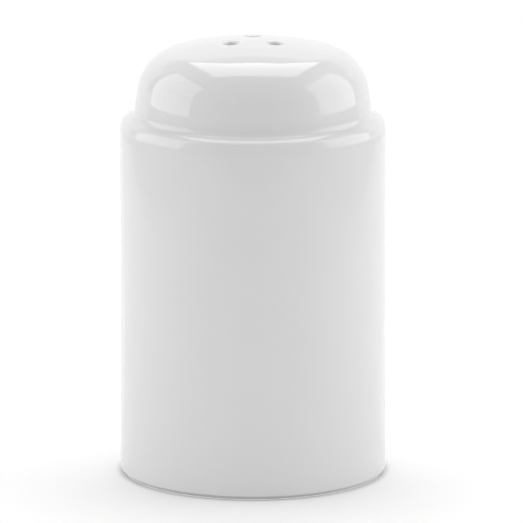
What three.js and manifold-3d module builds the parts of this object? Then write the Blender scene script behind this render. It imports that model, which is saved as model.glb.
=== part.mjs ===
// Porcelain pepper pot: a slip-cast shell with a domed head and three pouring holes, stood on a foot
// ring, and the soft stopper that closes the filling hole in its recessed base.
// Millimetres and degrees. +Z is up, -Y is the front, and the origin is the centre of the foot's plane.
import * as THREE from "three";
import { mergeVertices } from "three/addons/utils/BufferGeometryUtils.js";
import Module from "manifold-3d";

const wasm = await Module();
wasm.setup();

// Driving dimensions.
const HEIGHT = 82.2;
const BODY_RADIUS = 25;
const WALL = 3.4;

// The outline is a chain of tangent arcs. An arc is given by its radius and by the slope, above
// level, of the surface's outward normal at its lower and upper ends.
const SHOULDER_BLEND = { radius: 5.33, lower: 0, upper: 24, steps: 2 };
const SHOULDER_ROUND = { radius: 2.1, lower: 24, upper: 67, steps: 4 };
const COVE = { radius: 2.05, lower: 6.9, upper: 67, steps: 4 };
const HEAD_SIDE = { radius: 46, lower: 6.9, upper: 12.5, steps: 2 };
const HEAD_CORNER = { radius: 8.6, lower: 12.5, upper: 76, steps: 7 };
const CROWN_STEPS = 4;

// Foot, base and filling hole.
const FOOT_EDGE_RADIUS = 0.6;
const FOOT_RING_WIDTH = 4;
const FOOT_INNER_RADIUS = 1.2;
const RECESS_DEPTH = 4;
const BASE_THICKNESS = 3.6;
const FILLING_HOLE_RADIUS = 10.5;
const FILLING_EDGE_RADIUS = 0.8;
const INSIDE_CORNER_RADIUS = 4;
const INSIDE_NECK_RISE = 1;
const INSIDE_NECK_LENGTH = 9;

// Pouring holes.
const POURING_HOLE_COUNT = 3;
const POURING_HOLE_RADIUS = 1.3;
const POURING_RIM_RADIUS = 0.7;
const POURING_CIRCLE_RADIUS = 4.7;
const REAR_HOLE_ANGLE = 90;

// Stopper.
const TOUCH_GAP = 0.3;
const FLANGE_RADIUS = 13.6;
const FLANGE_THICKNESS = 1.4;
const FLANGE_EDGE_RADIUS = 0.5;
const PLUG_RADIUS = 9.7;
const PLUG_LENGTH = 8.2;
const PLUG_TIP_RADIUS = 8.9;
const SEALING_RIB_HEIGHTS = [1.5, 4.6];
const SEALING_RIB_HALF_WIDTH = 0.7;
const SEALING_RIB_RADIUS = FILLING_HOLE_RADIUS - TOUCH_GAP;
const PLUG_WALL = 1.7;
const PULL_TAB = { width: 8, reach: 4.2, thickness: 1.1, cornerRadius: 2.4, angle: -90 };

const SHELL_SEGMENTS = 64;
const STOPPER_SEGMENTS = 40;
const HOLE_SEGMENTS = 20;

const radians = THREE.MathUtils.degToRad;
const point = (radius, height) => new THREE.Vector2(radius, height);

// Points on an arc about a centre, from one direction to another, both ends included.
function arc(centre, radius, from, to, steps) {
  return Array.from({ length: steps + 1 }, (_, step) => {
    const angle = radians(from + ((to - from) * step) / steps);
    return point(centre.x + radius * Math.cos(angle), centre.y + radius * Math.sin(angle));
  });
}

// A convex arc that starts at a point of the outline and goes up and inwards.
function convexArc(start, { radius, lower, upper, steps }) {
  const angle = radians(lower);
  const centre = point(start.x - radius * Math.cos(angle), start.y - radius * Math.sin(angle));
  return arc(centre, radius, lower, upper, steps);
}

// A concave arc that starts at a point of the outline and goes inwards and up.
function concaveArc(start, { radius, lower, upper, steps }) {
  const angle = radians(upper);
  const centre = point(start.x + radius * Math.cos(angle), start.y + radius * Math.sin(angle));
  return arc(centre, radius, upper + 180, lower + 180, steps);
}

// The outside above the cylinder, drawn from a cylinder that ends at height 0. The crown's centre lies
// on the axis, so its radius follows from where the head's corner ends.
function outlineAboveCylinder() {
  const blend = convexArc(point(BODY_RADIUS, 0), SHOULDER_BLEND);
  const round = convexArc(blend.at(-1), SHOULDER_ROUND);
  const cove = concaveArc(round.at(-1), COVE);
  const side = convexArc(cove.at(-1), HEAD_SIDE);
  const corner = convexArc(side.at(-1), HEAD_CORNER);
  const crownRadius = corner.at(-1).x / Math.cos(radians(HEAD_CORNER.upper));
  const crown = convexArc(corner.at(-1), {
    radius: crownRadius,
    lower: HEAD_CORNER.upper,
    upper: 90,
    steps: CROWN_STEPS,
  });
  crown.at(-1).x = 0;
  const points = [blend, round, cove, side, corner, crown].flatMap((piece, i) => piece.slice(i ? 1 : 0));
  return { points, headBase: cove.at(-1), crownRadius };
}

const above = outlineAboveCylinder();
const CYLINDER_TOP = HEIGHT - above.points.at(-1).y;
const HEAD_BASE = point(above.headBase.x, above.headBase.y + CYLINDER_TOP);
const CROWN_RADIUS = above.crownRadius;
const CAVITY_FLOOR = RECESS_DEPTH + BASE_THICKNESS;

// The cavity's wall, from the axis at the top down to the filling hole.
function cavityOutline() {
  const crownAngle = HEAD_CORNER.upper;
  const crown = arc(point(0, HEIGHT - CROWN_RADIUS), CROWN_RADIUS - WALL, 90, crownAngle, 2);
  crown[0].x = 0;
  const cornerRadius = HEAD_CORNER.radius - WALL;
  const cornerCentre = point(
    crown.at(-1).x - cornerRadius * Math.cos(radians(crownAngle)),
    crown.at(-1).y - cornerRadius * Math.sin(radians(crownAngle)),
  );
  const corner = arc(cornerCentre, cornerRadius, crownAngle, HEAD_CORNER.lower, 4);
  const neck = point(HEAD_BASE.x - WALL, HEAD_BASE.y + INSIDE_NECK_RISE);
  const wall = point(BODY_RADIUS - WALL, neck.y - INSIDE_NECK_LENGTH);
  const floorCorner = arc(
    point(wall.x - INSIDE_CORNER_RADIUS, CAVITY_FLOOR + INSIDE_CORNER_RADIUS),
    INSIDE_CORNER_RADIUS,
    0,
    -90,
    3,
  );
  return [...crown, ...corner.slice(1), neck, wall, ...floorCorner];
}

// The filling hole's two rounded edges, the recess and the foot ring, from the inside out.
function baseOutline() {
  const edge = FILLING_EDGE_RADIUS;
  const rim = FILLING_HOLE_RADIUS + edge;
  const upperEdge = arc(point(rim, CAVITY_FLOOR - edge), edge, 90, 180, 2);
  const lowerEdge = arc(point(rim, RECESS_DEPTH + edge), edge, 180, 270, 2);
  const footOuter = BODY_RADIUS - FOOT_EDGE_RADIUS;
  const footInner = footOuter - FOOT_RING_WIDTH;
  const recessCorner = arc(
    point(footInner - FOOT_INNER_RADIUS, RECESS_DEPTH - FOOT_INNER_RADIUS),
    FOOT_INNER_RADIUS,
    90,
    0,
    2,
  );
  const footLip = arc(point(footInner + FOOT_EDGE_RADIUS, FOOT_EDGE_RADIUS), FOOT_EDGE_RADIUS, 180, 270, 2);
  const footEdge = arc(point(footOuter, FOOT_EDGE_RADIUS), FOOT_EDGE_RADIUS, -90, 0, 3);
  return [...upperEdge, ...lowerEdge, ...recessCorner, ...footLip, ...footEdge];
}

// A lathed piece stands on the XY plane, with its axis along Z.
const lathe = (points, segments) => new THREE.LatheGeometry(points, segments).rotateX(Math.PI / 2);

function toSolid(geometry) {
  const bare = geometry.clone();
  for (const name of ["normal", "uv"]) bare.deleteAttribute(name);
  const merged = mergeVertices(bare, 1e-4);
  return new wasm.Manifold(
    new wasm.Mesh({
      numProp: 3,
      vertProperties: merged.attributes.position.array,
      triVerts: new Uint32Array(merged.index.array),
    }),
  );
}

function toGeometry(solid) {
  const mesh = solid.getMesh();
  const geometry = new THREE.BufferGeometry();
  geometry.setAttribute("position", new THREE.BufferAttribute(new Float32Array(mesh.vertProperties), 3));
  geometry.setIndex(new THREE.BufferAttribute(mesh.triVerts, 1));
  geometry.computeVertexNormals();
  return geometry;
}

// A pouring hole with its rounded rim, as the solid that is cut away, standing on the head's surface.
function pouringHoleCutter() {
  const rim = arc(
    point(POURING_HOLE_RADIUS + POURING_RIM_RADIUS, -POURING_RIM_RADIUS),
    POURING_RIM_RADIUS,
    180,
    90,
    3,
  );
  const outside = rim.at(-1).x;
  const depth = 2 * WALL;
  const points = [point(0, -depth), point(POURING_HOLE_RADIUS, -depth), ...rim, point(outside, 1), point(0, 1)];
  return lathe(points, HOLE_SEGMENTS);
}

function makeShell(material) {
  const points = [
    ...cavityOutline(),
    ...baseOutline(),
    ...above.points.map((p) => point(p.x, p.y + CYLINDER_TOP)),
  ];
  let solid = toSolid(lathe(points, SHELL_SEGMENTS));
  const tilt = Math.asin(POURING_CIRCLE_RADIUS / CROWN_RADIUS);
  for (let i = 0; i < POURING_HOLE_COUNT; i += 1) {
    const cutter = new THREE.Group();
    cutter.position.z = HEIGHT - CROWN_RADIUS;
    cutter.rotation.set(0, tilt, radians(REAR_HOLE_ANGLE + (360 * i) / POURING_HOLE_COUNT), "ZYX");
    cutter.updateMatrix();
    const placed = pouringHoleCutter().translate(0, 0, CROWN_RADIUS).applyMatrix4(cutter.matrix);
    solid = solid.subtract(toSolid(placed));
  }
  const mesh = new THREE.Mesh(toGeometry(solid), material);
  mesh.name = "porcelain_shell";
  return mesh;
}

// The stopper's outline in its own frame, where height 0 is the flange's top face.
function stopperOutline() {
  const edge = FLANGE_EDGE_RADIUS;
  const ribs = SEALING_RIB_HEIGHTS.flatMap((height) => [
    point(PLUG_RADIUS, height - SEALING_RIB_HALF_WIDTH),
    point(SEALING_RIB_RADIUS, height - SEALING_RIB_HALF_WIDTH / 2),
    point(SEALING_RIB_RADIUS, height + SEALING_RIB_HALF_WIDTH / 2),
    point(PLUG_RADIUS, height + SEALING_RIB_HALF_WIDTH),
  ]);
  const taperStart = SEALING_RIB_HEIGHTS.at(-1) + SEALING_RIB_HALF_WIDTH + 1;
  const tipEdge = 0.6;
  return [
    point(0, PLUG_LENGTH - PLUG_WALL),
    point(PLUG_TIP_RADIUS - PLUG_WALL, PLUG_LENGTH - PLUG_WALL),
    point(PLUG_RADIUS - PLUG_WALL, -FLANGE_THICKNESS),
    ...arc(point(FLANGE_RADIUS - edge, edge - FLANGE_THICKNESS), edge, -90, 0, 3),
    ...arc(point(FLANGE_RADIUS - edge, -edge), edge, 0, 90, 3),
    point(PLUG_RADIUS, 0),
    ...ribs,
    point(PLUG_RADIUS, taperStart),
    ...arc(point(PLUG_TIP_RADIUS - tipEdge, PLUG_LENGTH - tipEdge), tipEdge, 0, 90, 2),
    point(0, PLUG_LENGTH),
  ];
}

// The tongue at the flange's edge that a fingernail lifts.
function pullTab() {
  const { width, reach, thickness, cornerRadius } = PULL_TAB;
  const root = FLANGE_RADIUS - 2;
  const tip = FLANGE_RADIUS + reach;
  const half = width / 2;
  const outline = new THREE.Shape()
    .moveTo(root, -half)
    .lineTo(tip - cornerRadius, -half)
    .absarc(tip - cornerRadius, cornerRadius - half, cornerRadius, -Math.PI / 2, 0, false)
    .absarc(tip - cornerRadius, half - cornerRadius, cornerRadius, 0, Math.PI / 2, false)
    .lineTo(root, half)
    .closePath();
  return new THREE.ExtrudeGeometry(outline, { depth: thickness, bevelEnabled: false, curveSegments: 5 })
    .translate(0, 0, -FLANGE_THICKNESS)
    .rotateZ(radians(PULL_TAB.angle));
}

function makeStopper(material) {
  const solid = toSolid(lathe(stopperOutline(), STOPPER_SEGMENTS)).add(toSolid(pullTab()));
  const mesh = new THREE.Mesh(toGeometry(solid), material);
  mesh.name = "stopper";
  mesh.position.z = RECESS_DEPTH - TOUCH_GAP;
  return mesh;
}

const glazedPorcelain = new THREE.MeshStandardMaterial({ color: 0xe9e9e8, roughness: 0.08, metalness: 0 });
const softSilicone = new THREE.MeshStandardMaterial({ color: 0xc9cbca, roughness: 0.55, metalness: 0 });

const pepperPot = new THREE.Group();
pepperPot.add(makeShell(glazedPorcelain), makeStopper(softSilicone));

export default pepperPot;
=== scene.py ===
"""A porcelain pepper pot: the glazed shell with its three pouring holes, the stopper under it, and a studio.

Laid out as an add-on with one operator for each piece and one for the studio. Run as a script, it
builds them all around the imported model. Lengths are in metres, +Z is up and -Y is the front.
"""

import math
from collections import namedtuple

import bmesh
import bpy
from mathutils import Matrix, Vector


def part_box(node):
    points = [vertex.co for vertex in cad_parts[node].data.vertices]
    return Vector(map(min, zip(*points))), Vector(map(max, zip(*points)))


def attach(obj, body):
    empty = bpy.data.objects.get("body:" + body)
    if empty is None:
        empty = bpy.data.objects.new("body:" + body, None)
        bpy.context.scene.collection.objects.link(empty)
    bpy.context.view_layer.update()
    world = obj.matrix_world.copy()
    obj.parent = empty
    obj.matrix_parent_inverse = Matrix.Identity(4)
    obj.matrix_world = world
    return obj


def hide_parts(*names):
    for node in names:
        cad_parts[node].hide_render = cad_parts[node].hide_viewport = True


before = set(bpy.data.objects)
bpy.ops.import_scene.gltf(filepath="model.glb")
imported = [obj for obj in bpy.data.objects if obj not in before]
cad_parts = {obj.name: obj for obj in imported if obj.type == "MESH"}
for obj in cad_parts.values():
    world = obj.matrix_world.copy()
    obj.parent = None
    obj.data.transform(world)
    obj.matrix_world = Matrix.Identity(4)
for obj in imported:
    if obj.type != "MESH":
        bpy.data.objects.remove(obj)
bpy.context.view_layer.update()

bl_info = {
    "name": "Porcelain pepper pot",
    "version": (1, 0, 0),
    "blender": (4, 5, 0),
    "location": "3D View > Sidebar > Pepper pot",
    "description": "Builds a glazed porcelain pepper pot, its stopper and a small studio",
    "category": "Add Mesh",
}

MM = 0.001
SHELL_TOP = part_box("porcelain_shell")[1]
STOPPER_BOTTOM, STOPPER_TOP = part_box("stopper")

# The shell's outline is a chain of tangent arcs. Each is given by its radius and by the slope, in
# degrees above level, of the surface's outward normal at its lower and upper ends.
Arc = namedtuple("Arc", "radius lower upper steps")
SHOULDER_BLEND = Arc(5.33 * MM, 0, 24, 12)
SHOULDER_ROUND = Arc(1.2 * MM, 24, 55, 12)
SHOULDER_LEDGE = Arc(6 * MM, 55, 66, 8)
COVE = Arc(1.506 * MM, 66, 6.5, 20)
HEAD_SIDE = Arc(46 * MM, 6.5, 12.5, 12)
HEAD_CORNER = Arc(8.6 * MM, 12.5, 76, 30)
CROWN_STEPS = 5
CYLINDER_STEPS = 30

# The cavity: where its head ends, its neck above the head's base, its slope below and its floor's corner.
CAVITY_HEAD_END = 20
CAVITY_NECK_RISE = 1 * MM
CAVITY_SHOULDER = 9 * MM
CAVITY_CORNER = 4 * MM

# How far round the pot and round a hole the mesh is divided.
SHELL_STEPS = 192
HOLE_COUNT = 3
WEDGE_SIDE_STEPS = 16


def length(name, description, default, **limits):
    """A length property in metres."""
    return bpy.props.FloatProperty(
        name=name, description=description, default=default, unit="LENGTH", precision=5, **limits
    )


def share(name, description, default):
    """A property that is a share, from 0 to 1."""
    return bpy.props.FloatProperty(
        name=name, description=description, default=default, min=0, max=1, subtype="FACTOR"
    )


def colour(name, description, default):
    """A colour property."""
    return bpy.props.FloatVectorProperty(
        name=name, description=description, default=default, size=3, min=0, max=1, subtype="COLOR"
    )


def radiance(name, description, default):
    """How brightly a part of the studio glows: 1 is white in the picture."""
    return bpy.props.FloatProperty(name=name, description=description, default=default, min=0)


class ShellSizes(bpy.types.PropertyGroup):
    """Sizes of the porcelain shell."""

    height: length("Height", "From the foot to the middle of the crown", SHELL_TOP.z)
    body_radius: length("Body radius", "Outside of the cylinder", SHELL_TOP.x)
    wall: length("Wall", "Thickness of the porcelain", 3.4 * MM)
    junction: length("Crown patch", "Radius of the crown's part that holds the holes", 9 * MM)
    hole_radius: length("Pouring hole", "Radius of a pouring hole's bore", 1.3 * MM)
    hole_rim: length("Pouring rim", "Rounding of a pouring hole's mouth", 0.7 * MM)
    hole_circle: length("Hole circle", "Radius of the circle that the pouring holes lie on", 4.7 * MM)
    filling_radius: length("Filling hole", "Radius of the filling hole in the base", 10.5 * MM)
    filling_edge: length("Filling edge", "Rounding of the filling hole's edges", 0.8 * MM)
    recess: length("Recess", "How far the base stands above the foot", 4 * MM)
    base: length("Base", "Thickness of the base", 3.6 * MM)
    foot_height: length("Foot height", "How far the glaze ends above the table", 0.5 * MM)
    foot_inset: length("Foot inset", "How far the bare foot ring stands back from the glaze", 0.7 * MM)
    foot_edge: length("Foot edge", "Rounding of the foot ring's edges", 0.2 * MM)
    foot_width: length("Foot width", "Width of the foot ring's flat", 3.2 * MM)


class StopperSizes(bpy.types.PropertyGroup):
    """Sizes of the stopper."""

    seat: length("Seat", "Height of the flange's top face", 3.7 * MM)
    flange_radius: length("Flange", "Radius of the flange", STOPPER_TOP.x)
    flange: length("Flange thickness", "Thickness of the flange", 1.4 * MM)
    plug_radius: length("Plug", "Radius of the plug between its ribs", 9.7 * MM)
    tip_radius: length("Plug tip", "Radius of the plug's upper end", 8.9 * MM)
    rib_radius: length("Ribs", "Radius of the plug over its ribs", 10.2 * MM)
    wall: length("Wall", "Thickness of the plug's wall", 1.7 * MM)
    tab_width: length("Tab width", "Width of the pull tab", 8 * MM)
    tab_step: length("Tab step", "How much lower the tab's top is than the flange's", 0.3 * MM)


class Finishes(bpy.types.PropertyGroup):
    """Colours and surface of the pieces."""

    glaze: colour("Glaze", "Colour of the glazed porcelain", (0.72, 0.72, 0.72))
    biscuit: colour("Biscuit", "Colour of the bare porcelain on the foot ring", (0.74, 0.73, 0.71))
    glaze_roughness: share("Glaze roughness", "Roughness of the glaze", 0.015)
    silicone: colour("Silicone", "Colour of the stopper", (0.66, 0.67, 0.66))
    silicone_roughness: share("Silicone roughness", "Roughness of the stopper", 0.48)


class StudioSettings(bpy.types.PropertyGroup):
    """The studio's camera and lamps."""

    distance: length("Camera distance", "From the camera to the middle of the pot", 1.3)
    pitch: bpy.props.FloatProperty(
        name="Camera pitch",
        description="How far the camera looks down",
        default=math.radians(12.37),
        subtype="ANGLE",
    )
    focal_length: bpy.props.FloatProperty(
        name="Focal length", description="Of the camera's lens, in millimetres", default=477.1
    )
    overhead: radiance("Overhead lamp", "Radiance of the overhead lamp", 2.35)
    left: radiance("Left lamp", "Radiance of the left lamp", 1.92)
    right: radiance("Right lamp", "Radiance of the right lamp", 2.08)
    tent_left: radiance("Tent left", "Radiance of the cloth on the left", 0.6)
    tent_right: radiance("Tent right", "Radiance of the cloth on the right", 0.8)
    tent_top: radiance("Tent top", "Radiance of the cloth overhead", 0.5)
    room: radiance("Room", "Radiance of the room round the tent", 0.69)
    backdrop: radiance("Backdrop", "Radiance of the backdrop", 1.02)
    # Near the pot the table's glow is dimmed as painted contact shadow and painted shade.
    table: radiance("Table", "Own radiance of the table top, away from the pot", 0.21)


# ---------------------------------------------------------------- mesh work


class Pen:
    """Draws a wire from vertex to vertex in a plane, given by the directions of its two coordinates."""

    def __init__(self, mesh, start, across=Vector((1, 0, 0)), up=Vector((0, 0, 1))):
        self.mesh, self.across, self.up = mesh, across, up
        self.tip = mesh.verts.new(self.place(*start))

    def place(self, u, v):
        return self.across * u + self.up * v

    @property
    def at(self):
        """The tip's two coordinates."""
        return self.tip.co.dot(self.across), self.tip.co.dot(self.up)

    def line(self, u, v, steps=1):
        """A straight line to a point."""
        stride = (self.place(u, v) - self.tip.co) / steps
        for _ in range(steps):
            made = bmesh.ops.extrude_vert_indiv(self.mesh, verts=[self.tip])
            self.tip = made["verts"][0]
            self.tip.co += stride
        return self

    def arc(self, radius, start, end, steps):
        """An arc that starts at the tip. start and end are the directions, in degrees, from its centre."""
        u, v = self.at
        angle = math.radians(start)
        centre = self.place(u - radius * math.cos(angle), v - radius * math.sin(angle))
        made = bmesh.ops.spin(
            self.mesh,
            geom=[self.tip],
            cent=centre,
            axis=self.across.cross(self.up),
            angle=math.radians(end - start),
            steps=steps,
        )
        self.tip = next(e for e in made["geom_last"] if isinstance(e, bmesh.types.BMVert))
        return self

    def slope(self, arc):
        """A convex arc of the outline, upwards."""
        return self.arc(arc.radius, arc.lower, arc.upper, arc.steps)

    def hollow(self, arc):
        """A concave arc of the outline, upwards."""
        return self.arc(arc.radius, arc.lower + 180, arc.upper + 180, arc.steps)


def next_ring(mesh, ring, place):
    """Extrudes a closed ring of edges, puts each new vertex where place says and returns the new ring."""
    made = bmesh.ops.extrude_edge_only(mesh, edges=ring)["geom"]
    for vert in [e for e in made if isinstance(e, bmesh.types.BMVert)]:
        vert.co = place(vert)
    return [e for e in made if isinstance(e, bmesh.types.BMEdge) and e.is_boundary]


def close_ring(mesh, ring, centre):
    """Closes a small ring with a point."""
    ring = next_ring(mesh, ring, lambda vert: centre)
    verts = list({v for edge in ring for v in edge.verts})
    bmesh.ops.pointmerge(mesh, verts=verts, merge_co=centre)


def lerp(start, end, amount):
    return start + (end - start) * amount


def smooth_step(low, high, value):
    amount = min(max((value - low) / (high - low), 0), 1)
    return amount * amount * (3 - 2 * amount)


def finish_mesh(mesh, name, material, body, node):
    """Closes, turns outwards and shades a mesh, and makes it the piece that stands for a CAD node."""
    bmesh.ops.remove_doubles(mesh, verts=mesh.verts, dist=2e-6)
    bmesh.ops.recalc_face_normals(mesh, faces=mesh.faces)
    for face in mesh.faces:
        face.smooth = True
    loose = [edge for edge in mesh.edges if len(edge.link_faces) != 2]
    if loose:
        raise RuntimeError(f"{name} isn't closed: {len(loose)} edges don't have two faces")
    data = bpy.data.meshes.new(name)
    mesh.to_mesh(data)
    mesh.free()
    data.materials.append(material)
    piece = bpy.data.objects.new(name, data)
    bpy.context.scene.collection.objects.link(piece)
    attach(piece, body)
    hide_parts(node)
    return piece


# ---------------------------------------------------------------- the shell


def outer_height(sizes):
    """Height of the cylinder's top, radius of the crown and the head's base, which follow from the arcs."""
    probe = bmesh.new()
    pen = Pen(probe, (sizes.body_radius, 0))
    pen.slope(SHOULDER_BLEND).slope(SHOULDER_ROUND).slope(SHOULDER_LEDGE).hollow(COVE)
    head_base = pen.at
    pen.slope(HEAD_SIDE).slope(HEAD_CORNER)
    radius, height = pen.at
    probe.free()
    angle = math.radians(HEAD_CORNER.upper)
    crown = radius / math.cos(angle)
    cylinder_top = sizes.height - (height + crown * (1 - math.sin(angle)))
    return cylinder_top, crown, (head_base[0], head_base[1] + cylinder_top)


def draw_cavity(pen, sizes, crown, head_base):
    """The cavity's wall, from the crown patch down to the filling hole."""
    wall = sizes.wall
    crown_start = math.degrees(math.acos(sizes.junction / crown))
    pen.arc(crown - wall, crown_start, HEAD_CORNER.upper, CROWN_STEPS)
    pen.arc(HEAD_CORNER.radius - wall, HEAD_CORNER.upper, CAVITY_HEAD_END, 14)
    neck = (head_base[0] - wall, head_base[1] + CAVITY_NECK_RISE)
    pen.line(*neck, steps=3)
    body = sizes.body_radius - wall
    pen.line(body, neck[1] - CAVITY_SHOULDER, steps=10)
    floor = sizes.recess + sizes.base
    pen.line(body, floor + CAVITY_CORNER, steps=24)
    pen.arc(CAVITY_CORNER, 0, -90, 12)
    pen.line(sizes.filling_radius + sizes.filling_edge, floor, steps=5)


def draw_base(pen, sizes):
    """The filling hole's rounded edges, the recess and the foot ring, outwards."""
    edge = sizes.filling_edge
    pen.arc(edge, 90, 180, 8)
    pen.line(sizes.filling_radius, sizes.recess + edge, steps=3)
    pen.arc(edge, 180, 270, 8)
    lip, height = 0.4 * MM, sizes.foot_height
    foot_outer = sizes.body_radius - sizes.foot_inset - sizes.foot_edge
    foot_inner = foot_outer - sizes.foot_width
    recess_wall = foot_inner - sizes.foot_edge - sizes.foot_inset / 2
    recess_corner = 1.2 * MM
    pen.line(recess_wall - recess_corner, sizes.recess, steps=6)
    pen.arc(recess_corner, 90, 0, 8)
    pen.line(recess_wall, height + lip / 2, steps=4)
    pen.arc(lip / 2, 180, 270, 6)
    pen.line(foot_inner - sizes.foot_edge, height)
    pen.line(foot_inner - sizes.foot_edge, sizes.foot_edge)
    pen.arc(sizes.foot_edge, 180, 270, 6)
    pen.line(foot_outer, 0, steps=8)
    pen.arc(sizes.foot_edge, -90, 0, 6)
    pen.line(pen.at[0], height)
    pen.line(sizes.body_radius - lip, height, steps=2)
    pen.arc(lip, -90, 0, 10)


def draw_outside(pen, sizes, cylinder_top, crown):
    """The outside, from the foot up to the crown patch."""
    pen.line(sizes.body_radius, cylinder_top, steps=CYLINDER_STEPS)
    pen.slope(SHOULDER_BLEND).slope(SHOULDER_ROUND).slope(SHOULDER_LEDGE)
    pen.hollow(COVE).slope(HEAD_SIDE).slope(HEAD_CORNER)
    crown_end = math.degrees(math.acos(sizes.junction / crown))
    pen.arc(crown, HEAD_CORNER.upper, crown_end, CROWN_STEPS)


def spin_shell(mesh, sizes, cylinder_top, crown, head_base):
    """Everything but the crown patch, as one wire turned round the axis."""
    inner = sizes.junction * (crown - sizes.wall) / crown
    rise = math.sqrt(crown**2 - sizes.junction**2) * (crown - sizes.wall) / crown
    pen = Pen(mesh, (inner, sizes.height - crown + rise))
    draw_cavity(pen, sizes, crown, head_base)
    draw_base(pen, sizes)
    draw_outside(pen, sizes, cylinder_top, crown)
    bmesh.ops.spin(
        mesh,
        geom=mesh.verts[:] + mesh.edges[:],
        cent=(0, 0, 0),
        axis=(0, 0, 1),
        angle=math.tau,
        steps=SHELL_STEPS,
        use_merge=True,
    )


def make_crown_wedge(sizes, crown):
    """A third of the crown patch, with one pouring hole through it, from the outside to the cavity.

    A ring starts as the wedge's outline. It closes in on the hole, goes down through it and opens again
    below. Every vertex keeps its bearing from the hole's axis, and the reach of the outline there.
    """
    mesh = bmesh.new()
    bearing = mesh.verts.layers.float.new("bearing")
    reach = mesh.verts.layers.float.new("reach")
    half = 180 / HOLE_COUNT
    steps = SHELL_STEPS // HOLE_COUNT
    radius = sizes.junction
    start = (radius * math.cos(math.radians(half)), -radius * math.sin(math.radians(half)))
    pen = Pen(mesh, start, up=Vector((0, 1, 0)))
    first = pen.tip
    pen.arc(radius, -half, half, steps)
    pen.line(0, 0, steps=WEDGE_SIDE_STEPS)
    pen.line(*first.co.xy, steps=WEDGE_SIDE_STEPS)
    bmesh.ops.remove_doubles(mesh, verts=mesh.verts, dist=1e-6)
    tilt = math.asin(sizes.hole_circle / crown)
    axis = Matrix.Rotation(tilt, 4, "Y")
    to_hole = axis.inverted()
    for vert in mesh.verts:
        vert.co.z = math.sqrt(crown**2 - vert.co.xy.length_squared)
        local = to_hole @ vert.co
        vert[bearing] = math.atan2(local.y, local.x)
        vert[reach] = local.xy.length

    def at(vert, distance, height):
        angle = vert[bearing]
        return axis @ Vector((distance * math.cos(angle), distance * math.sin(angle), height))

    def on_ball(ball, inner_edge, amount, scale=1.0):
        def place(vert):
            distance = lerp(vert[reach] * scale, inner_edge, amount)
            return at(vert, distance, math.sqrt(ball**2 - distance**2))
        return place

    def at_fixed(distance, height):
        return lambda vert: at(vert, distance, height)

    inside = crown - sizes.wall
    bore, rim, lip = sizes.hole_radius, sizes.hole_rim, 0.4 * MM
    top = math.sqrt(crown**2 - (bore + rim) ** 2)
    bottom = math.sqrt(inside**2 - (bore + lip) ** 2)
    field, rounding, depth = 14, 10, 6
    places = [on_ball(crown, bore + rim, i / field) for i in range(1, field + 1)]
    for i in range(1, rounding + 1):
        angle = math.radians(90 * i / rounding)
        places.append(at_fixed(bore + rim * (1 - math.sin(angle)), top - rim * (1 - math.cos(angle))))
    for i in range(1, depth + 1):
        places.append(at_fixed(bore, lerp(top - rim, bottom + lip, i / depth)))
    for i in range(1, rounding // 2 + 1):
        angle = math.radians(90 * i / (rounding // 2))
        places.append(at_fixed(bore + lip * (1 - math.cos(angle)), bottom + lip * (1 - math.sin(angle))))
    scale = inside / crown
    places += [on_ball(inside, bore + lip, 1 - i / field, scale) for i in range(1, field + 1)]
    ring = mesh.edges[:]
    for place in places:
        ring = next_ring(mesh, ring, place)
    bmesh.ops.translate(mesh, verts=mesh.verts, vec=(0, 0, sizes.height - crown))
    return mesh


def build_shell(sizes, finishes):
    """The porcelain shell: the turned part, and the crown patch in three wedges."""
    cylinder_top, crown, head_base = outer_height(sizes)
    mesh = bmesh.new()
    spin_shell(mesh, sizes, cylinder_top, crown, head_base)
    wedge = make_crown_wedge(sizes, crown)
    data = bpy.data.meshes.new("crown_wedge")
    wedge.to_mesh(data)
    wedge.free()
    for i in range(HOLE_COUNT):
        turn = Matrix.Rotation(math.radians(90 + 360 * i / HOLE_COUNT), 4, "Z")
        data.transform(turn)
        mesh.from_mesh(data)
        data.transform(turn.inverted())
    bpy.data.meshes.remove(data)
    material = glaze_material(finishes)
    return finish_mesh(mesh, "pepper_pot_shell", material, "shell", "porcelain_shell")


# ---------------------------------------------------------------- the stopper


def draw_stopper_outline(mesh, sizes):
    """The flange's outline with its pull tab towards the front, seen from above."""
    flange = sizes.flange_radius
    tip = -STOPPER_BOTTOM.y
    half, corner, blend = sizes.tab_width / 2, 2.4 * MM, 1.2 * MM
    # The blend arc touches both the flange's circle and the tab's side.
    aside = half + blend
    along = math.sqrt((flange + blend) ** 2 - aside**2)
    turn = math.degrees(math.atan2(along, aside))
    touch = flange / (flange + blend)
    pen = Pen(mesh, (aside * touch, -along * touch), up=Vector((0, 1, 0)))
    first = pen.tip
    pen.arc(flange, -turn, 180 + turn, 160)
    pen.arc(blend, turn, 0, 6)
    pen.line(-half, -(tip - corner), steps=3)
    pen.arc(corner, 180, 270, 8)
    pen.line(half - corner, -tip, steps=8)
    pen.arc(corner, 270, 360, 8)
    pen.line(half, -along, steps=3)
    pen.arc(blend, 180, 180 - turn, 6)
    bmesh.ops.remove_doubles(mesh, verts=mesh.verts, dist=1e-6)
    return first


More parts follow.
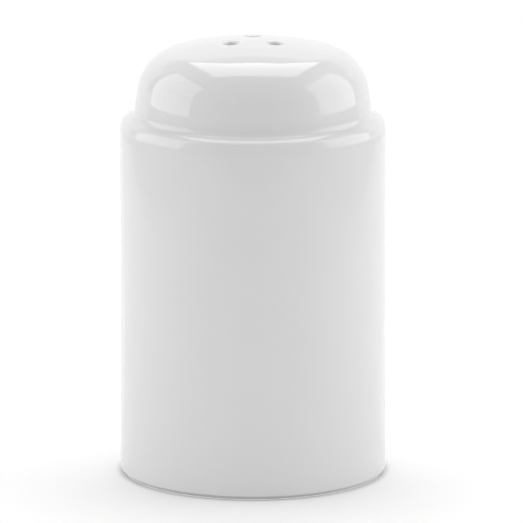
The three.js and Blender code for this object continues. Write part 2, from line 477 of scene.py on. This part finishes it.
def build_stopper(sizes, finishes):
    """The stopper, drawn as rings from the flange's outline: upwards over the plug, and under it."""
    mesh = bmesh.new()
    bearing = mesh.verts.layers.float.new("bearing")
    reach = mesh.verts.layers.float.new("reach")
    draw_stopper_outline(mesh, sizes)
    seat, thickness, edge = sizes.seat, sizes.flange, 0.45 * MM
    flange = sizes.flange_radius
    for vert in mesh.verts:
        vert[bearing] = math.atan2(vert.co.y, vert.co.x)
        vert[reach] = vert.co.xy.length
        vert.co.z = seat - thickness / 2

    def at(vert, distance, height):
        angle = vert[bearing]
        return Vector((distance * math.cos(angle), distance * math.sin(angle), height))

    def top_face(distance):
        return seat - sizes.tab_step * smooth_step(flange - 0.1 * MM, flange + 1.1 * MM, distance)

    def grip(point):
        """Depth of the grip bars under the tab at a point."""
        along = -point.y - (flange + 0.6 * MM)
        pitch = 1.2 * MM
        count = 3
        if not 0 < along < count * pitch or abs(point.x) > sizes.tab_width / 2:
            return 0.0
        ends = smooth_step(sizes.tab_width / 2 - 0.6 * MM, sizes.tab_width / 2 - 1.4 * MM, abs(point.x))
        return 0.28 * MM * math.sin(math.pi * along / pitch) ** 2 * ends

    def fixed(distance, height):
        return lambda vert: at(vert, distance, height)

    def top_edge(angle):
        inset = edge * (1 - math.cos(angle))
        drop = edge * (1 - math.sin(angle))
        return lambda vert: at(vert, vert[reach] - inset, top_face(vert[reach]) - drop)

    def top_field(amount, root):
        def place(vert):
            distance = lerp(vert[reach] - edge, root, amount)
            return at(vert, distance, top_face(distance))
        return place

    def low_edge(angle):
        inset, drop = edge * (1 - math.cos(angle)), edge * (1 - math.sin(angle))
        return lambda vert: at(vert, vert[reach] - inset, seat - thickness + drop)

    def low_field(amount, mouth):
        def place(vert):
            point = at(vert, lerp(vert[reach] - edge, mouth, amount), seat - thickness)
            point.z -= 0 if amount == 0 else grip(point)
            return point
        return place

    quarter = [math.radians(90 * i / 5) for i in range(6)]
    plug, tip, root = sizes.plug_radius, sizes.tip_radius, 0.5 * MM
    length_above = STOPPER_TOP.z - seat

    upper = [top_edge(angle) for angle in quarter]
    upper += [top_field(i / 14, plug + root) for i in range(1, 15)]
    upper += [fixed(plug + root * (1 - math.sin(a)), seat + root * (1 - math.cos(a))) for a in quarter[1:]]
    start, end, tip_edge = root, length_above - 0.6 * MM, 0.6 * MM
    rib_heights, rib_half = (1.5 * MM, 4.6 * MM), 0.75 * MM
    taper = 6.3 * MM

    def plug_at(height):
        radius = lerp(plug, tip, min(max((height - taper) / (length_above - taper), 0), 1))
        for rib in rib_heights:
            offset = min(abs(height - rib) / rib_half, 1)
            radius += (sizes.rib_radius - plug) * math.cos(offset * math.pi / 2) ** 2
        return radius

    steps = 44
    heights = [lerp(start, end, i / steps) for i in range(1, steps + 1)]
    upper += [fixed(plug_at(height), seat + height) for height in heights]
    corner = plug_at(end)
    upper += [
        fixed(corner - tip_edge * (1 - math.cos(a)), seat + end + tip_edge * math.sin(a))
        for a in quarter[1:]
    ]
    upper += [fixed((corner - tip_edge) * (1 - i / 6), STOPPER_TOP.z) for i in range(1, 6)]

    mouth, ceiling = plug - sizes.wall, length_above - sizes.wall
    low_edge_radius, hollow_corner = 0.4 * MM, 0.9 * MM
    hollow_top = tip - sizes.wall
    lower = [low_edge(angle) for angle in quarter]
    lower += [low_field(i / 36, mouth + low_edge_radius) for i in range(1, 37)]
    bottom = seat - thickness
    lower += [
        fixed(mouth + low_edge_radius * (1 - math.sin(a)), bottom + low_edge_radius * (1 - math.cos(a)))
        for a in quarter[1:]
    ]
    wall_top = seat + ceiling - hollow_corner
    lower += [
        fixed(lerp(mouth, hollow_top, i / 12), lerp(bottom + low_edge_radius, wall_top, i / 12))
        for i in range(1, 13)
    ]
    lower += [
        fixed(hollow_top - hollow_corner * (1 - math.cos(a)), wall_top + hollow_corner * math.sin(a))
        for a in quarter[1:]
    ]
    gate = 0.9 * MM
    lower += [fixed(lerp(hollow_top - hollow_corner, gate, i / 6), seat + ceiling) for i in range(1, 7)]
    lower += [fixed(gate * math.cos(a), seat + ceiling - 0.35 * MM * math.sin(a)) for a in quarter[1:-1]]

    outline = mesh.edges[:]
    ring = outline
    for place in upper:
        ring = next_ring(mesh, ring, place)
    close_ring(mesh, ring, Vector((0, 0, STOPPER_TOP.z)))
    ring = outline
    for place in lower:
        ring = next_ring(mesh, ring, place)
    close_ring(mesh, ring, Vector((0, 0, seat + ceiling - 0.35 * MM)))
    material = silicone_material(finishes)
    return finish_mesh(mesh, "pepper_pot_stopper", material, "stopper", "stopper")


# ---------------------------------------------------------------- materials


class Wire:
    """A node's output, with the arithmetic that adds Math nodes to its tree."""

    def __init__(self, tree, socket):
        self.tree, self.socket = tree, socket

    def math(self, operation, *operands):
        node = self.tree.nodes.new("ShaderNodeMath")
        node.operation = operation
        for socket, operand in zip(node.inputs, operands):
            feed(self.tree, socket, operand)
        return Wire(self.tree, node.outputs[0])

    def __add__(self, other):
        return self.math("ADD", self, other)

    def __radd__(self, other):
        return self.math("ADD", other, self)

    def __sub__(self, other):
        return self.math("SUBTRACT", self, other)

    def __rsub__(self, other):
        return self.math("SUBTRACT", other, self)

    def __mul__(self, other):
        return self.math("MULTIPLY", self, other)

    def __rmul__(self, other):
        return self.math("MULTIPLY", other, self)

    def __truediv__(self, other):
        return self.math("DIVIDE", self, other)

    def __rtruediv__(self, other):
        return self.math("DIVIDE", other, self)

    def __pow__(self, other):
        return self.math("POWER", self, other)

    def __gt__(self, other):
        return self.math("GREATER_THAN", self, other)

    def __lt__(self, other):
        return self.math("LESS_THAN", self, other)

    def ramp(self, low, high):
        """0 at low and below, 1 at high and above, and straight between them."""
        return ((self - low) / (high - low)).clamped()

    def clamped(self):
        made = self.math("ADD", self, 0.0)
        made.socket.node.use_clamp = True
        return made


def feed(tree, socket, value):
    """Links a wire to a socket, or sets the socket's own value."""
    if isinstance(value, Wire):
        tree.links.new(value.socket, socket)
    else:
        socket.default_value = value


class Finish:
    """A material under construction."""

    def __init__(self, name, **constants):
        self.material = bpy.data.materials.new(name)
        self.material.use_nodes = True
        self.tree = self.material.node_tree
        self.shader = next(n for n in self.tree.nodes if n.type == "BSDF_PRINCIPLED")
        self.set(**constants)
        places = self.node("ShaderNodeTexCoord", output="Object")
        scale = {0: places, "Scale": 1 / MM}
        self.position = self.node("ShaderNodeVectorMath", {"operation": "SCALE"}, scale)
        self.x, self.y, self.z = (
            self.node("ShaderNodeSeparateXYZ", sockets={0: self.position}, output=axis) for axis in "XYZ"
        )
        self.radius = (self.x * self.x + self.y * self.y) ** 0.5

    def set(self, **sockets):
        """Sets or links the shader's sockets. Base_Color means Base Color."""
        for name, value in sockets.items():
            feed(self.tree, self.shader.inputs[name.replace("_", " ")], value)

    def node(self, kind, settings=None, sockets=None, output=0):
        """Adds a node of any type: first its settings, then its sockets' values or links."""
        node = self.tree.nodes.new(kind)
        for name, value in (settings or {}).items():
            setattr(node, name, value)
        for name, value in (sockets or {}).items():
            feed(self.tree, node.inputs[name], value)
        return Wire(self.tree, node.outputs[output])

    def noise(self, wavelength, detail=2.0):
        """Noise from about 0 to 1, with features about as far apart as the wavelength, in millimetres."""
        place = self.node(
            "ShaderNodeVectorMath", {"operation": "MULTIPLY"}, {0: self.position, 1: [1 / wavelength] * 3}
        )
        return self.node("ShaderNodeTexNoise", sockets={"Vector": place, "Scale": 1.0, "Detail": detail})

    def scaled(self, colour, amount):
        """A colour made darker or lighter by an amount."""
        return self.node("ShaderNodeVectorMath", {"operation": "SCALE"}, {0: colour[:], "Scale": amount})

    def blend(self, amount, first, second):
        """A colour between two colours."""
        return self.node("ShaderNodeMix", {"data_type": "RGBA"}, {0: amount, 6: first, 7: second}, output=2)

    def specks(self, spacing, size, share_of_cells):
        """1 on round specks that lie in a share of the cells of that spacing, in millimetres."""
        settings = {"feature": "F1"}
        sockets = {"Vector": self.position, "Scale": 1 / spacing, "Randomness": 1.0}
        distance = self.node("ShaderNodeTexVoronoi", settings, sockets, output="Distance")
        cell = self.node("ShaderNodeTexVoronoi", settings, sockets, output="Position")
        chance = self.node("ShaderNodeTexWhiteNoise", sockets={"Vector": cell}, output="Value")
        edge = size / spacing
        return (1 - distance.ramp(edge * 0.5, edge)) * (chance < share_of_cells)

    def relief(self, height):
        """Bump from a height in millimetres."""
        sockets = {"Strength": 1.0, "Distance": MM, "Height": height}
        return self.node("ShaderNodeBump", sockets=sockets, output="Normal")


# Height of the glaze's lower edge, in millimetres: from all bare to all glazed.
GLAZE_END = (0.485, 0.5)


def glaze_material(finishes):
    """Clear glaze over white porcelain, with the bare, wiped foot ring."""
    glaze = Finish("porcelain_glaze", IOR=1.6)
    wander = glaze.noise(1.6)
    bare = 1 - (glaze.z + (wander - 0.5) * 0.02).ramp(*GLAZE_END)
    cloud = glaze.noise(11.0)
    fine = glaze.noise(0.9, detail=3.0)
    tone = 1 - (cloud - 0.5) * 0.02 - (fine - 0.5) * 0.01
    specks = glaze.specks(3.5, 0.09, 0.05)
    body = glaze.scaled(finishes.glaze, tone * (1 - specks * 0.3))
    grain = glaze.noise(0.35, detail=6.0)
    rub = glaze.noise(4.0, detail=4.0)
    biscuit = glaze.scaled(finishes.biscuit, 1 - (grain - 0.5) * 0.12 - rub.ramp(0.55, 0.8) * 0.12)
    patches = glaze.noise(7.0, detail=3.0)
    gloss = finishes.glaze_roughness + patches.ramp(0.5, 0.8) * 0.03
    peel = (glaze.noise(3.2, detail=1.0) - 0.5) * 0.004
    swell = (glaze.noise(14.0, detail=0.0) - 0.5) * 0.03
    pits = glaze.specks(2.3, 0.12, 0.06)
    turning = glaze.node("ShaderNodeCombineXYZ", sockets={0: glaze.radius})
    tracks = glaze.node("ShaderNodeTexNoise", sockets={"Vector": turning, "Scale": 5.0, "Detail": 4.0})
    raw = (grain - 0.5) * 0.03 + (tracks - 0.5) * 0.02
    height = (peel + swell - pits * 0.006) * (1 - bare) + raw * bare
    glaze.set(
        Base_Color=glaze.blend(bare, body, biscuit),
        Roughness=gloss * (1 - bare) + 0.82 * bare,
        Normal=glaze.relief(height),
    )
    return glaze.material


def silicone_material(finishes):
    """Milky moulded silicone with a fine matt texture."""
    silicone = Finish("stopper_silicone", IOR=1.41, Subsurface_Weight=0.25, Subsurface_Scale=1.2 * MM)
    cloud = silicone.noise(5.0, detail=3.0)
    lint = silicone.specks(1.6, 0.1, 0.10)
    tone = 1 - (cloud - 0.5) * 0.06 - lint * 0.35
    silicone.set(
        Base_Color=silicone.scaled(finishes.silicone, tone),
        Roughness=finishes.silicone_roughness + (silicone.noise(1.1) - 0.5) * 0.16,
        Normal=silicone.relief((silicone.noise(0.16, detail=3.0) - 0.5) * 0.01 + lint * 0.01),
    )
    return silicone.material


# ---------------------------------------------------------------- the studio

TENT_HALF_WIDTH = 0.27
PANEL_GAP = 0.008
LAMP_HEIGHT = 0.48
BACKDROP_DISTANCE = 0.45
TABLE_FRONT = 0.3
TABLE_GAP = 0.05 * MM
TABLE_COLOUR = (0.8, 0.8, 0.8, 1)
# Radius of the part of the table, inside the foot ring, that lets light up, in millimetres.
TABLE_OPENING = 24.2


def emitter(name, radiance):
    """A plain material that glows."""
    material = bpy.data.materials.new(name)
    material.use_nodes = True
    nodes = material.node_tree.nodes
    nodes.clear()
    glow = nodes.new("ShaderNodeEmission")
    glow.inputs["Strength"].default_value = radiance
    output = nodes.new("ShaderNodeOutputMaterial")
    material.node_tree.links.new(glow.outputs[0], output.inputs["Surface"])
    return material


def add_stage(name, mesh, material, seen=False):
    """Makes a mesh part of the studio. One that isn't seen still lights the pot and shows in its glaze."""
    data = bpy.data.meshes.new(name)
    mesh.to_mesh(data)
    mesh.free()
    data.materials.append(material)
    made = bpy.data.objects.new(name, data)
    bpy.context.scene.collection.objects.link(made)
    made.visible_camera = seen


def add_panel(name, corners, material, seen=False):
    """A flat four-cornered panel of the studio."""
    mesh = bmesh.new()
    mesh.faces.new([mesh.verts.new(corner) for corner in corners])
    add_stage(name, mesh, material, seen)


def side_corners(x, outline):
    """Corners of an upright panel at one side, from its outline in y and z."""
    return [(x, y, z) for y, z in outline]


def level_corners(left, right, front, back, height):
    """Corners of a level panel."""
    return [(left, front, height), (right, front, height), (right, back, height), (left, back, height)]


def make_table(settings):
    """A pale table top that lets light up inside the foot ring, and can be looked through from below.

    Its own glow stops at the pot's outline and grows away from it: a painted contact shadow round the foot,
    and painted shade that fades out away from the pot.
    """
    table = Finish("table", Roughness=0.9, Specular_IOR_Level=0.1, Emission_Strength=settings.table)
    # Painted shade: no glow out to 25 mm. The glow rises to 70 % at 26 mm, a painted contact shadow, then to
    # full at 160 mm, painted shade round the pot.
    away = table.radius.ramp(25, 26) * (0.7 + table.radius.ramp(26, 160) * 0.3)
    table.set(Base_Color=TABLE_COLOUR, Emission_Color=table.blend(away, (0, 0, 0, 1), (1, 1, 1, 1)))
    output = next(n for n in table.tree.nodes if n.type == "OUTPUT_MATERIAL")
    below = table.node("ShaderNodeNewGeometry", output="Backfacing")
    open_part = (below + (table.radius < TABLE_OPENING)).clamped()
    clear = table.node("ShaderNodeBsdfTransparent")
    top = Wire(table.tree, table.shader.outputs[0])
    mixed = table.node("ShaderNodeMixShader", sockets={0: open_part, 1: top, 2: clear})
    feed(table.tree, output.inputs["Surface"], mixed)
    corners = level_corners(-TENT_HALF_WIDTH, TENT_HALF_WIDTH, -TABLE_FRONT, BACKDROP_DISTANCE, -TABLE_GAP)
    add_panel("table", corners, table.material, seen=True)


def make_tent(settings):
    """The room, the cloths behind the lamps and the bright backdrop."""
    mesh = bmesh.new()
    bmesh.ops.create_icosphere(mesh, subdivisions=4, radius=4)
    add_stage("room", mesh, emitter("room_glow", settings.room))
    side, top = TENT_HALF_WIDTH + PANEL_GAP, LAMP_HEIGHT + 0.007
    outline = [(-0.175, 0.08), (0.235, 0.08), (0.235, top), (-0.175, top)]
    add_panel("tent_left", side_corners(-side, outline), emitter("tent_left_glow", settings.tent_left))
    add_panel("tent_right", side_corners(side, outline), emitter("tent_right_glow", settings.tent_right))
    corners = level_corners(-side, side, -0.235, 0.56, top)
    add_panel("tent_top", corners, emitter("tent_top_glow", settings.tent_top))
    half, back, high = 0.72, BACKDROP_DISTANCE, 0.37
    corners = [(-half, back, 0), (half, back, 0), (half, back, high), (-half, back, high)]
    add_panel("backdrop", corners, emitter("backdrop_glow", settings.backdrop))


def make_lamps(settings):
    """The two side lamps and the overhead lamp, just in front of the cloths."""
    left = [(0.136, 0.066), (0.170, 0.362), (-0.150, 0.355), (-0.138, 0.090)]
    right = [(0.136, 0.066), (0.170, 0.362), (-0.130, 0.355), (-0.116, 0.090)]
    add_panel("left_lamp", side_corners(-TENT_HALF_WIDTH, left), emitter("left_lamp_glow", settings.left))
    add_panel("right_lamp", side_corners(TENT_HALF_WIDTH, right), emitter("right_lamp_glow", settings.right))
    corners = level_corners(-0.177, 0.190, 0.005, 0.5, LAMP_HEIGHT)
    add_panel("overhead_lamp", corners, emitter("overhead_lamp_glow", settings.overhead))


def make_world():
    """A white surround that only the camera sees, so that the lamps alone light the pot."""
    world = bpy.data.worlds.new("surround")
    world.use_nodes = True
    world.node_tree.nodes["Background"].inputs["Color"].default_value = (1, 1, 1, 1)
    for ray in ("diffuse", "glossy", "transmission", "scatter"):
        setattr(world.cycles_visibility, ray, False)
    bpy.context.scene.world = world


# How far right of and below the middle of the pot the camera aims.
AIM_ASIDE = 1.585 * MM
AIM_DROP = 0.15 * MM


def make_camera(settings):
    """A long lens that looks slightly down on the pot, which stands a little left of the middle."""
    back = Vector((0, -math.cos(settings.pitch), math.sin(settings.pitch)))
    middle = Vector((0, 0, 40 * MM))
    up = Vector((0, math.sin(settings.pitch), math.cos(settings.pitch)))
    aim = middle + Vector((AIM_ASIDE, 0, 0)) - up * AIM_DROP
    data = bpy.data.cameras.new("camera")
    data.lens = settings.focal_length
    data.clip_start, data.clip_end = 0.05, 20
    camera = bpy.data.objects.new("camera", data)
    camera.location = middle + back * settings.distance
    camera.rotation_euler = (aim - camera.location).to_track_quat("-Z", "Y").to_euler()
    bpy.context.scene.collection.objects.link(camera)
    bpy.context.scene.camera = camera


# ---------------------------------------------------------------- the add-on


class PEPPERPOT_OT_shell(bpy.types.Operator):
    """Build the glazed porcelain shell"""

    bl_idname = "pepperpot.shell"
    bl_label = "Build shell"

    def execute(self, context):
        build_shell(context.scene.pepperpot_shell, context.scene.pepperpot_finishes)
        return {"FINISHED"}


class PEPPERPOT_OT_stopper(bpy.types.Operator):
    """Build the silicone stopper under the pot"""

    bl_idname = "pepperpot.stopper"
    bl_label = "Build stopper"

    def execute(self, context):
        build_stopper(context.scene.pepperpot_stopper, context.scene.pepperpot_finishes)
        return {"FINISHED"}


class PEPPERPOT_OT_studio(bpy.types.Operator):
    """Set up the floor, the light tent, the lamps and the camera"""

    bl_idname = "pepperpot.studio"
    bl_label = "Set up studio"

    def execute(self, context):
        settings = context.scene.pepperpot_studio
        make_world()
        make_table(settings)
        make_tent(settings)
        make_lamps(settings)
        make_camera(settings)
        context.scene.view_settings.view_transform = "Standard"
        return {"FINISHED"}


class PEPPERPOT_PT_panel(bpy.types.Panel):
    """Lists the pepper pot's operators and settings"""

    bl_label = "Pepper pot"
    bl_space_type = "VIEW_3D"
    bl_region_type = "UI"
    bl_category = "Pepper pot"

    def draw(self, context):
        for operator in OPERATORS:
            self.layout.operator(operator.bl_idname)
        for name in GROUPS:
            group = getattr(context.scene, name)
            box = self.layout.box()
            for key in group.bl_rna.properties.keys():
                if key not in ("rna_type", "name"):
                    box.prop(group, key)


OPERATORS = (PEPPERPOT_OT_shell, PEPPERPOT_OT_stopper, PEPPERPOT_OT_studio)
GROUPS = {
    "pepperpot_shell": ShellSizes,
    "pepperpot_stopper": StopperSizes,
    "pepperpot_finishes": Finishes,
    "pepperpot_studio": StudioSettings,
}


def register():
    for group in GROUPS.values():
        bpy.utils.register_class(group)
    for item in (*OPERATORS, PEPPERPOT_PT_panel):
        bpy.utils.register_class(item)
    for name, group in GROUPS.items():
        setattr(bpy.types.Scene, name, bpy.props.PointerProperty(type=group))


def unregister():
    for name in GROUPS:
        delattr(bpy.types.Scene, name)
    for item in (PEPPERPOT_PT_panel, *reversed(OPERATORS), *GROUPS.values()):
        bpy.utils.unregister_class(item)


def main():
    """Builds the pot and its studio."""
    register()
    bpy.ops.pepperpot.shell()
    bpy.ops.pepperpot.stopper()
    bpy.ops.pepperpot.studio()


if __name__ == "__main__":
    main()
